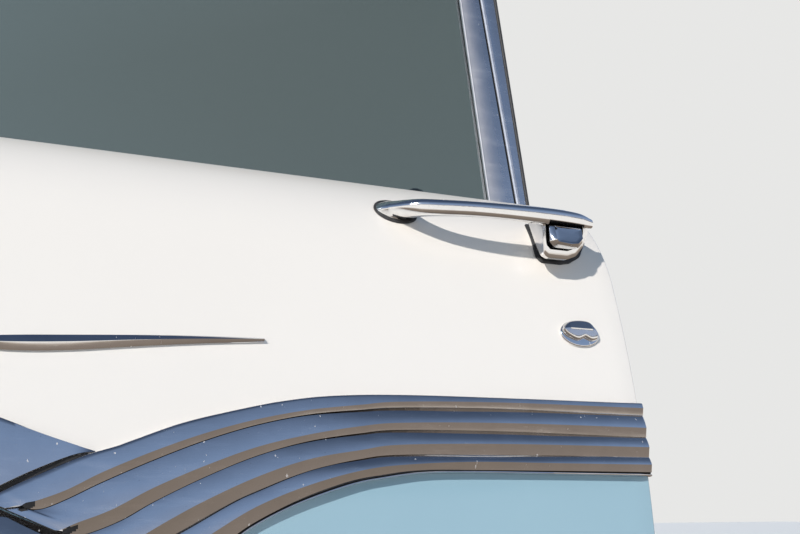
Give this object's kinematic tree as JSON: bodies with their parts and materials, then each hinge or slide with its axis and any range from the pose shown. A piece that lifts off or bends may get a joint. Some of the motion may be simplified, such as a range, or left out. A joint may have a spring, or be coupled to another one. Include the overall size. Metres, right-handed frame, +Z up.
{
  "type": "classic car door",
  "caption": "Left front door of a 1950s hardtop, hung on two pillar hinges, with pull handle, chrome mouldings, vent window and door glass.",
  "frame": {"origin": "centre of the upper hinge's mounting face, midway between its four bolt holes", "axes": "+X to the rear of the car, +Y inboard, +Z up; the outside of the door faces -Y"},
  "size_m": [1.2277, 0.2579, 0.9252],
  "materials": {
    "body_paint": "gloss cream over light blue",
    "shell_paint": "gloss",
    "tinted_glass": "polished",
    "bright_trim": "polished",
    "black_rubber": "matt",
    "hinge_steel": "plain",
    "door_vinyl": "grained"
  },
  "bodies": {
    "pillar_hinges": {"pillar_hinge_leaf_upper": "hinge_steel", "pillar_hinge_leaf_lower": "hinge_steel", "hinge_pin_upper": "hinge_steel", "hinge_pin_lower": "hinge_steel"},
    "door": {"outer_panel": "body_paint", "inner_shell": "shell_paint", "door_glass": "tinted_glass", "glass_rear_channel": "bright_trim", "division_bar": "bright_trim", "vent_frame": "bright_trim", "vent_glass": "tinted_glass", "vent_latch": "bright_trim", "vent_sill": "shell_paint", "outer_belt_seal": "black_rubber", "inner_belt_seal": "black_rubber", "ribbed_side_trim": "bright_trim", "spear_side_trim": "bright_trim", "door_ornament": "bright_trim", "handle_grip": "bright_trim", "push_button": "bright_trim", "handle_front_gasket": "black_rubber", "handle_rear_gasket": "black_rubber", "key_base": "bright_trim", "key_cover": "bright_trim", "door_hinge_leaf_upper": "hinge_steel", "door_hinge_leaf_lower": "hinge_steel", "door_latch": "hinge_steel", "door_dovetail": "hinge_steel", "door_weatherstrip": "black_rubber", "door_bumper_upper": "black_rubber", "door_bumper_lower": "black_rubber", "trim_panel": "door_vinyl", "garnish_moulding": "shell_paint", "armrest": "door_vinyl", "window_crank": "bright_trim", "inner_release_handle": "bright_trim", "lock_knob": "bright_trim"}
  },
  "joints": [
    {"name": "door_swing", "type": "hinge", "parent": "pillar_hinges", "child": "door", "pos_m": [0.016, -0.065, 0], "axis": [0, 0, -1], "range_deg": [0, 65]}
  ]
}
